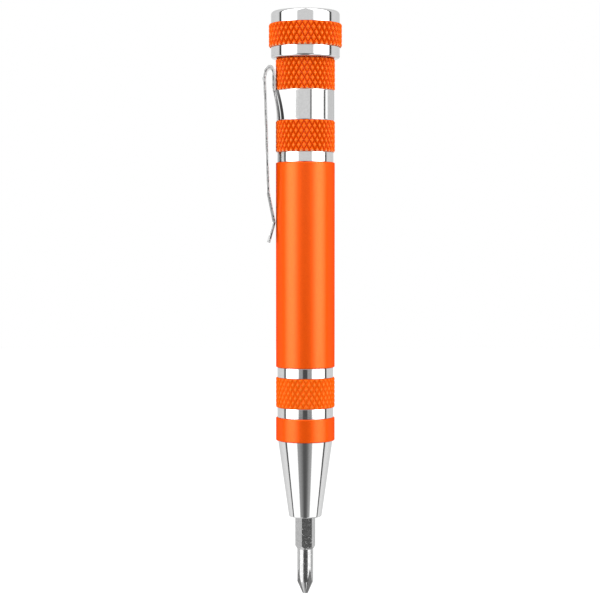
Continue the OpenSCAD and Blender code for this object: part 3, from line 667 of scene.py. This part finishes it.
def makeClip():
    c, path, bandRadius = clip, clipPath(), clipBand["radius"]
    roundFrom = c["tipZ"] + c["tipWidth"] / 2
    points, faces, loops, tornTones = [], [], [], []
    onArm = False
    for i, p in enumerate(path):
        before, after = path[max(i - 1, 0)], path[min(i + 1, len(path) - 1)]
        along = (after - before).normalized()
        across = Vector((-along.y, along.x))
        onArm = onArm or p.x < c["loopX"] - c["loopRadius"] * 0.98
        half = c["width"] / 2
        if onArm:  # the arm narrows towards its rounded end
            share = min(1, max(0, (c["archZ"] - p.y) / (c["archZ"] - roundFrom)))
            half += (c["tipWidth"] / 2 - c["width"] / 2) * share
            if p.y < roundFrom:
                half = math.sqrt(max(half ** 2 - (roundFrom - p.y) ** 2, c["endHalfWidth"] ** 2))
        # the foot of the strip follows the band's curve and flattens out towards the knee
        curl = 0 if onArm or p.x < c["loopX"] else max(0, min(1, (c["kneeZ"] - p.y) / (c["kneeZ"] - c["footZ"])))
        ring = []
        for u, v, torn in stripSection(half):
            tornTones.append(torn)
            drop = curl * (bandRadius - math.sqrt(bandRadius ** 2 - v * v))
            at = p + across * u
            ring.append(len(points))
            points.append((at.x + drop, v, at.y))
        loops.append(ring)
    for a, b in zip(loops, loops[1:]):
        n = len(a)
        faces += [(a[k], a[(k + 1) % n], b[(k + 1) % n], b[k]) for k in range(n)]
    faces += [loops[0][::-1], loops[-1]]
    strip = makePiece("clipStrip", points, faces, springSteel, None, ["clip_arm"], 40)
    strip.data.attributes.new("torn", "FLOAT", "POINT").data.foreach_set("value", tornTones)
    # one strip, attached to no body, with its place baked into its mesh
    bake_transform(strip)


makeClip()
makeTube("clipBandTube", clipBand, springSteel, "tail", "clip_band")
makeClipRoot()
print("clip made")


# Bits and carriers keep their solid's shape with eased edges; the small inner pieces stay as they are
eased = {
    "drive_bit": (bitSteel, 0.045), "cross_bit_fine": (bitSteel, 0.03), "cross_bit_small": (bitSteel, 0.04),
    "slot_bit_wide": (bitSteel, 0.04), "slot_bit_narrow": (bitSteel, 0.04), "star_bit": (bitSteel, 0.03),
    "nose_carrier": (carrierPlastic, 0.12), "tail_carrier": (carrierPlastic, 0.12),
}
easing = {"sameFace": 1.5, "sharpEdge": 24, "shadeSharp": 38}  # angles in degrees
plain = {"bit_socket": plainSteel, "socket_magnet": plainSteel, "spindle_clip": plainSteel,
         "thrust_washer": washerNylon}
bodyOf = {node: body for body, group in frame["record"]["behaviour"]["bodies"].items() for node in group}
slotOf = {s["node"]: s["material_slot"] for s in frame["record"]["subparts"]}


def makeEased(node, material, width):
    mesh = nodes[node].data.copy()
    tool = bmesh.new()
    tool.from_mesh(mesh)
    bmesh.ops.remove_doubles(tool, verts=tool.verts, dist=0.000002)
    bmesh.ops.dissolve_limit(tool, angle_limit=math.radians(easing["sameFace"]), verts=tool.verts, edges=tool.edges)
    least = math.radians(easing["sharpEdge"])
    sharp = [e for e in tool.edges if len(e.link_faces) == 2 and e.calc_face_angle(0) > least]
    bmesh.ops.bevel(tool, geom=sharp, offset=width / 1000, offset_type="OFFSET", segments=2, profile=0.5,
                    affect="EDGES", clamp_overlap=True)
    tool.to_mesh(mesh)
    tool.free()
    mesh.shade_smooth()
    mesh.set_sharp_from_angle(angle=math.radians(easing["shadeSharp"]))
    mesh.materials.clear()
    mesh.materials.append(material)
    piece = bpy.data.objects.new(node.replace("_", "") + "Eased", mesh)
    scene.collection.objects.link(piece)
    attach(piece, bodyOf[node])
    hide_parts(node)
    piece.modifiers.new("flats", "WEIGHTED_NORMAL").keep_sharp = True


for node, (material, width) in eased.items():
    makeEased(node, material, width)
finishOf = {"orange_anodised": orangeSmooth, "bright_plate": brightPlate, "spring_steel": springSteel,
            "bit_steel": bitSteel, "plain_steel": plainSteel, "carrier_plastic": carrierPlastic,
            "washer_nylon": washerNylon}
for node, piece in nodes.items():
    piece.data.materials.clear()
    piece.data.materials.append(plain.get(node, finishOf[slotOf[node]]))
print("bits, carriers and inner pieces made")


# Studio: pale floor, white surroundings with grey and dark cards that only the metal shows
studio = {"floorHeight": -48, "floorReach": 1500, "floorGlow": 0.75, "floorAlbedo": 0.42, "fill": 0.88,
          "panel": 1.68, "hot": 6.0, "side": 1.0, "sideLow": 1.12, "rear": 0.86, "line": 0.045, "frontHigh": 0.94,
          "frontMiddle": 0.50, "core": 0.10, "dark": 0.15, "litBit": 1.95, "frontBand": 0.97, "table": 1.0}
# the cards' zones from the top down: the heights (z of the direction) over which each gives way to the next
zones = {"band": (0.092, 0.086), "collar": (0.056, 0.050), "middle": (0.03, -0.03), "bit": (-0.108, -0.113),
         "cone": (-0.24, -0.27), "tip": (-0.52, -0.62), "table": (-0.93, -0.97)}


def makeFloor():
    reach, low = studio["floorReach"], studio["floorHeight"]
    points = [(-reach, -reach, low), (reach, -reach, low), (reach, reach, low), (-reach, reach, low)]
    mesh = bpy.data.meshes.new("floor")
    mesh.from_pydata([(x / 1000, y / 1000, z / 1000) for x, y, z in points], [], [(0, 1, 2, 3)])
    floor = bpy.data.objects.new("floor", mesh)
    scene.collection.objects.link(floor)
    material = bpy.data.materials.new("paleFloor")
    material.use_nodes = True
    tree = material.node_tree
    tree.nodes.clear()
    out = addNode(tree, "ShaderNodeOutputMaterial")
    ray = addNode(tree, "ShaderNodeLightPath")
    glow = addNode(tree, "ShaderNodeEmission", Color=(1, 1, 1, 1))
    matt = addNode(tree, "ShaderNodeBsdfDiffuse", Color=(*grey(studio["floorAlbedo"]), 1))
    both = addNode(tree, "ShaderNodeAddShader")
    strength = addNode(tree, "ShaderNodeMath", operation="MULTIPLY")
    strength.inputs[1].default_value = studio["floorGlow"]
    tree.links.new(ray.outputs["Is Camera Ray"], strength.inputs[0])
    tree.links.new(strength.outputs[0], glow.inputs["Strength"])
    tree.links.new(glow.outputs[0], both.inputs[0])
    tree.links.new(matt.outputs[0], both.inputs[1])
    tree.links.new(both.outputs[0], out.inputs["Surface"])
    mesh.materials.append(material)
    floor.visible_glossy = False


# light levels round the part for metal only: directions in degrees, 0 in front and 90 to the right
def roomBands(middle, hot, outer, side):
    s = studio
    band = [(46, hot), (64, hot)] if hot else [(54, middle[0][1]), (62, outer)]
    band += [(86, outer), (89, s["line"]), (94, s["line"]), (100, side), (115, side), (150, s["rear"]), (180, s["rear"])]
    return [(-degrees, level) for degrees, level in reversed(band)] + middle + band


# between the collar and the upper ring, the left dark card gives the dark stripes of the clip's root
def bandCards():
    lit, front, rear, line = studio["panel"], studio["frontBand"], studio["rear"], studio["line"]
    left = [(-180, rear), (-156, rear), (-150, line), (-89, line), (-86, lit), (-40, lit), (-37, front)]
    right = [(18, front), (20, 0.22), (24, 0.22), (26, lit), (77, lit), (80, 0.12), (86, 0.12), (89, lit), (97, lit)]
    return left + right + [(103, 0.9), (155, 0.8), (162, 0.45), (180, 0.45)]


def makeWorld():
    world = bpy.data.worlds.new("studioWorld")
    scene.world = world
    world.use_nodes = True
    tree = world.node_tree
    tree.nodes.clear()
    s = studio
    top, lit, litBit, dark = s["hot"], s["panel"], s["litBit"], s["dark"]
    frontHigh, frontMiddle, core = s["frontHigh"], s["frontMiddle"], s["core"]
    out = addNode(tree, "ShaderNodeOutputWorld")
    back = addNode(tree, "ShaderNodeBackground", Strength=1.0)
    where = addNode(tree, "ShaderNodeTexCoord")
    split = addNode(tree, "ShaderNodeSeparateXYZ")
    tree.links.new(where.outputs["Generated"], split.inputs["Vector"])
    away = addNode(tree, "ShaderNodeMath", operation="MULTIPLY")
    away.inputs[1].default_value = -1
    tree.links.new(split.outputs["Y"], away.inputs[0])
    angle = addNode(tree, "ShaderNodeMath", operation="ARCTAN2")
    tree.links.new(split.outputs["X"], angle.inputs[0])
    tree.links.new(away.outputs[0], angle.inputs[1])

    def spread(source, low, high):
        node = addNode(tree, "ShaderNodeMapRange")
        node.inputs["From Min"].default_value, node.inputs["From Max"].default_value = low, high
        tree.links.new(source, node.inputs["Value"])
        return node.outputs["Result"]

    around = spread(angle.outputs[0], -math.pi, math.pi)

    def cards(levels):
        return ramp(tree, around, [((degrees + 180) / 360, grey(level / top)) for degrees, level in levels])

    def room(middle, hot=0, outer=lit, side=s["side"]):
        return cards(roomBands(middle, hot, outer, side))

    high = room([(-29, lit), (-26, frontHigh), (25, frontHigh), (28, lit)], top)
    middle = room([(-29, lit), (-26, frontMiddle), (-12, frontMiddle), (-9, core), (7, core), (10, frontMiddle),
                   (25, frontMiddle), (28, lit)], top)
    bit = room([(-32, litBit), (-28, dark), (34, dark), (38, litBit)], outer=litBit, side=s["sideLow"])
    cone = room([(-38, lit), (-35, 0.52), (-25, 0.42), (-14, 0.25), (-8, 0.135), (3, 0.135), (10, 0.22), (18, 0.45),
                 (29, 0.60), (32, lit)], side=s["sideLow"])
    tip = cards([(-180, 0.8), (-70, 1.3), (-28, 0.9), (-18, 0.08), (14, 0.08), (24, 1.4), (60, 0.5), (180, 0.6)])
    below = {"band": cards(bandCards()), "collar": high, "middle": middle, "bit": bit, "cone": cone, "tip": tip,
             "table": s["table"] / top}
    seen = high
    for zone, (fromHeight, toHeight) in zones.items():
        seen = blended(tree, spread(split.outputs["Z"], fromHeight, toHeight), seen, below[zone])
    level = addNode(tree, "ShaderNodeMix", data_type="RGBA", blend_type="MULTIPLY")
    level.inputs["Factor"].default_value = 1
    level.inputs["B"].default_value = (top, top, top, 1)
    tree.links.new(seen, level.inputs["A"])
    # the camera and glass see plain white, metal sees the cards, and all else gets the even fill
    ray = addNode(tree, "ShaderNodeLightPath")
    clear = addNode(tree, "ShaderNodeMath", operation="MAXIMUM")
    tree.links.new(ray.outputs["Is Camera Ray"], clear.inputs[0])
    tree.links.new(ray.outputs["Is Transmission Ray"], clear.inputs[1])
    indirect = blended(tree, ray.outputs["Is Glossy Ray"], s["fill"], level.outputs["Result"])
    tree.links.new(blended(tree, clear.outputs[0], indirect, 1.0), back.inputs["Color"])
    tree.links.new(back.outputs[0], out.inputs["Surface"])


lamps = {"softboxLeft": (-480, -120, 240), "softboxRight": (480, -120, 240)}
softbox = {"width": 300, "height": 420, "power": 1.3, "aimHeight": 70}


def makeLamp(name, place):
    lamp = bpy.data.lights.new(name, "AREA")
    lamp.shape, lamp.energy = "RECTANGLE", softbox["power"]
    lamp.size, lamp.size_y = softbox["width"] / 1000, softbox["height"] / 1000
    item = bpy.data.objects.new(name, lamp)
    scene.collection.objects.link(item)
    item.location = Vector(place) / 1000
    aim = Vector((0, 0, softbox["aimHeight"] / 1000)) - item.location
    item.rotation_euler = aim.to_track_quat("-Z", "Y").to_euler()
    item.visible_camera = False
    item.visible_glossy = False


camera = {"x": -1.2, "y": -391, "z": 82, "tilt": 0.04, "lens": 104.4, "sensor": 36}


def makeCamera():
    eye = bpy.data.cameras.new("photoCamera")
    eye.lens, eye.sensor_width, eye.clip_start, eye.clip_end = camera["lens"], camera["sensor"], 0.01, 10
    view = bpy.data.objects.new("photoCamera", eye)
    scene.collection.objects.link(view)
    view.location = (camera["x"] / 1000, camera["y"] / 1000, camera["z"] / 1000)
    view.rotation_euler = (math.pi / 2 - camera["tilt"], 0, 0)
    scene.camera = view


makeFloor()
makeWorld()
for name, place in lamps.items():
    makeLamp(name, place)
makeCamera()
scene.view_settings.view_transform = "Standard"
print("studio and camera made")
